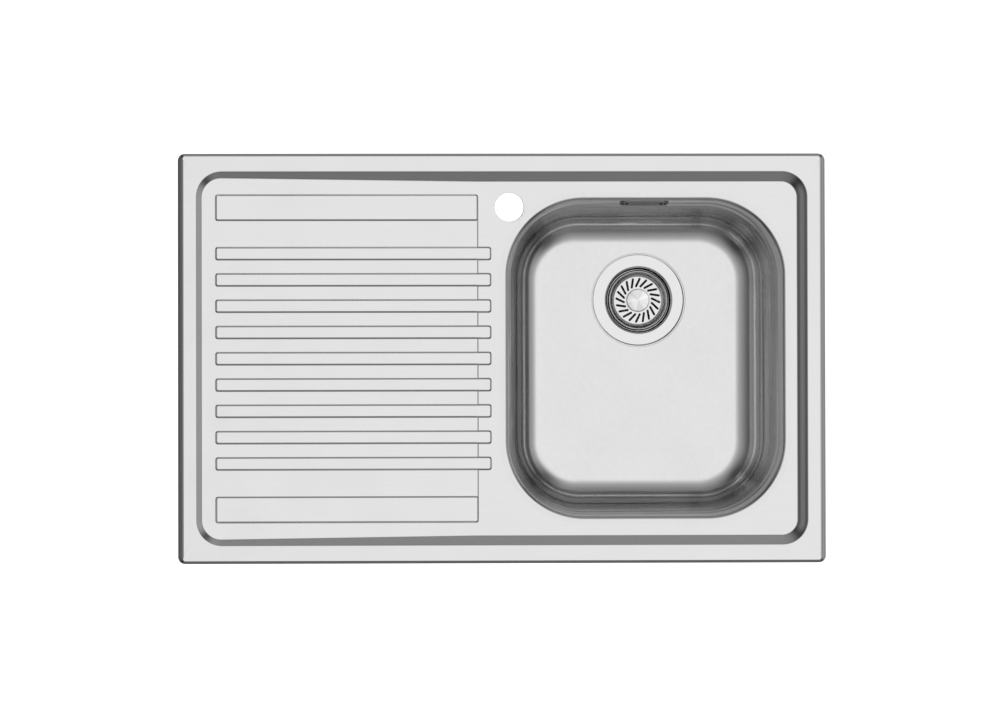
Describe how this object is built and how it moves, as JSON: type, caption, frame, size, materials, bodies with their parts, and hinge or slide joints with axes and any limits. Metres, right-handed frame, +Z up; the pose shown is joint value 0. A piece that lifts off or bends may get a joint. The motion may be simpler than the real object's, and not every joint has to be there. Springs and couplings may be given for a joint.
{
  "type": "kitchen sink with drainboard",
  "caption": "Inset stainless kitchen sink: deep rounded bowl with basket strainer and overflow on one side, ribbed drainboard on the other, tap hole at the back, fold-out clips underneath.",
  "frame": {"origin": "centre of the worktop cut-out at the worktop's surface, on the underside of the rim's gasket", "axes": "+X towards the bowl, +Y towards the tap hole and the wall, +Z up"},
  "size_m": [0.79, 0.5, 0.252],
  "materials": {
    "sheet_steel": "fine satin stainless sheet",
    "polished_steel": "polished stainless",
    "turned_steel": "finely turned stainless",
    "plated_steel": "bright zinc plate",
    "foam_seal": "closed-cell foam strip",
    "sound_pad": "bituminous damping sheet",
    "soft_rubber": "moulded rubber",
    "white_plastic": "moulded polypropylene",
    "dark_plastic": "moulded nylon",
    "brass": "turned brass"
  },
  "bodies": {
    "sink": {"sink_deck": "sheet_steel", "sink_bowl": "sheet_steel", "rim_gasket": "foam_seal", "bowl_sound_pad": "sound_pad", "clip_studs": "plated_steel", "waste_flange": "polished_steel", "waste_flange_gasket": "soft_rubber", "waste_body_gasket": "soft_rubber", "waste_body": "white_plastic", "waste_insert": "brass", "waste_screw": "polished_steel", "overflow_plate": "polished_steel", "overflow_gasket": "soft_rubber", "overflow_elbow": "white_plastic", "overflow_pipe": "white_plastic", "overflow_nut_lower": "white_plastic", "overflow_nut_upper": "white_plastic"},
    "strainer_catch": {"basket_catch": "dark_plastic"},
    "strainer_basket": {"basket_dish": "polished_steel", "basket_knob": "turned_steel", "basket_stem": "polished_steel", "basket_seal": "soft_rubber"},
    "clip_1": {"swing_clip_1": "plated_steel"},
    "foot_1": {"clip_foot_1": "dark_plastic"},
    "screw_1": {"clip_screw_1": "plated_steel"},
    "clip_2": {"swing_clip_2": "plated_steel"},
    "foot_2": {"clip_foot_2": "dark_plastic"},
    "screw_2": {"clip_screw_2": "plated_steel"},
    "clip_3": {"swing_clip_3": "plated_steel"},
    "foot_3": {"clip_foot_3": "dark_plastic"},
    "screw_3": {"clip_screw_3": "plated_steel"},
    "clip_4": {"swing_clip_4": "plated_steel"},
    "foot_4": {"clip_foot_4": "dark_plastic"},
    "screw_4": {"clip_screw_4": "plated_steel"},
    "clip_5": {"swing_clip_5": "plated_steel"},
    "foot_5": {"clip_foot_5": "dark_plastic"},
    "screw_5": {"clip_screw_5": "plated_steel"},
    "clip_6": {"swing_clip_6": "plated_steel"},
    "foot_6": {"clip_foot_6": "dark_plastic"},
    "screw_6": {"clip_screw_6": "plated_steel"}
  },
  "joints": [
    {"name": "basket_lift_out", "type": "slide", "parent": "sink", "child": "strainer_catch", "axis": [0, 0, 1], "range_m": [0, 0.2]},
    {"name": "plug_press", "type": "slide", "parent": "strainer_catch", "child": "strainer_basket", "axis": [0, 0, 1], "range_m": [-0.006, 0]},
    {"name": "clip_1_swing", "type": "hinge", "parent": "sink", "child": "clip_1", "pos_m": [-0.23, -0.2335, -0.0071], "axis": [0, 0, -1], "range_deg": [0, 90]},
    {"name": "clip_1_rise", "type": "slide", "parent": "clip_1", "child": "foot_1", "axis": [0, 0, 1], "range_m": [0, 0.014]},
    {"name": "clip_1_turn", "type": "hinge", "parent": "foot_1", "child": "screw_1", "pos_m": [-0.2175, -0.2335, -0.06], "axis": [0, 0, 1], "range_deg": [0, 6300]},
    {"name": "clip_2_swing", "type": "hinge", "parent": "sink", "child": "clip_2", "pos_m": [0.23, -0.2335, -0.0071], "axis": [0, 0, -1], "range_deg": [0, 90]},
    {"name": "clip_2_rise", "type": "slide", "parent": "clip_2", "child": "foot_2", "axis": [0, 0, 1], "range_m": [0, 0.014]},
    {"name": "clip_2_turn", "type": "hinge", "parent": "foot_2", "child": "screw_2", "pos_m": [0.2425, -0.2335, -0.06], "axis": [0, 0, 1], "range_deg": [0, 6300]},
    {"name": "clip_3_swing", "type": "hinge", "parent": "sink", "child": "clip_3", "pos_m": [0.3785, 0, -0.0071], "axis": [0, 0, -1], "range_deg": [0, 90]},
    {"name": "clip_3_rise", "type": "slide", "parent": "clip_3", "child": "foot_3", "axis": [0, 0, 1], "range_m": [0, 0.014]},
    {"name": "clip_3_turn", "type": "hinge", "parent": "foot_3", "child": "screw_3", "pos_m": [0.3785, 0.0125, -0.06], "axis": [0, 0, 1], "range_deg": [0, 6300]},
    {"name": "clip_4_swing", "type": "hinge", "parent": "sink", "child": "clip_4", "pos_m": [0.23, 0.2335, -0.0071], "axis": [0, 0, -1], "range_deg": [0, 90]},
    {"name": "clip_4_rise", "type": "slide", "parent": "clip_4", "child": "foot_4", "axis": [0, 0, 1], "range_m": [0, 0.014]},
    {"name": "clip_4_turn", "type": "hinge", "parent": "foot_4", "child": "screw_4", "pos_m": [0.2175, 0.2335, -0.06], "axis": [0, 0, 1], "range_deg": [0, 6300]},
    {"name": "clip_5_swing", "type": "hinge", "parent": "sink", "child": "clip_5", "pos_m": [-0.23, 0.2335, -0.0071], "axis": [0, 0, -1], "range_deg": [0, 90]},
    {"name": "clip_5_rise", "type": "slide", "parent": "clip_5", "child": "foot_5", "axis": [0, 0, 1], "range_m": [0, 0.014]},
    {"name": "clip_5_turn", "type": "hinge", "parent": "foot_5", "child": "screw_5", "pos_m": [-0.2425, 0.2335, -0.06], "axis": [0, 0, 1], "range_deg": [0, 6300]},
    {"name": "clip_6_swing", "type": "hinge", "parent": "sink", "child": "clip_6", "pos_m": [-0.3785, 0, -0.0071], "axis": [0, 0, -1], "range_deg": [0, 90]},
    {"name": "clip_6_rise", "type": "slide", "parent": "clip_6", "child": "foot_6", "axis": [0, 0, 1], "range_m": [0, 0.014]},
    {"name": "clip_6_turn", "type": "hinge", "parent": "foot_6", "child": "screw_6", "pos_m": [-0.3785, -0.0125, -0.06], "axis": [0, 0, 1], "range_deg": [0, 6300]}
  ],
  "couplings": [
    {"joint": "clip_1_turn", "follows": "clip_1_rise", "rad_per_m": 7854},
    {"joint": "clip_2_turn", "follows": "clip_2_rise", "rad_per_m": 7854},
    {"joint": "clip_3_turn", "follows": "clip_3_rise", "rad_per_m": 7854},
    {"joint": "clip_4_turn", "follows": "clip_4_rise", "rad_per_m": 7854},
    {"joint": "clip_5_turn", "follows": "clip_5_rise", "rad_per_m": 7854},
    {"joint": "clip_6_turn", "follows": "clip_6_rise", "rad_per_m": 7854}
  ]
}
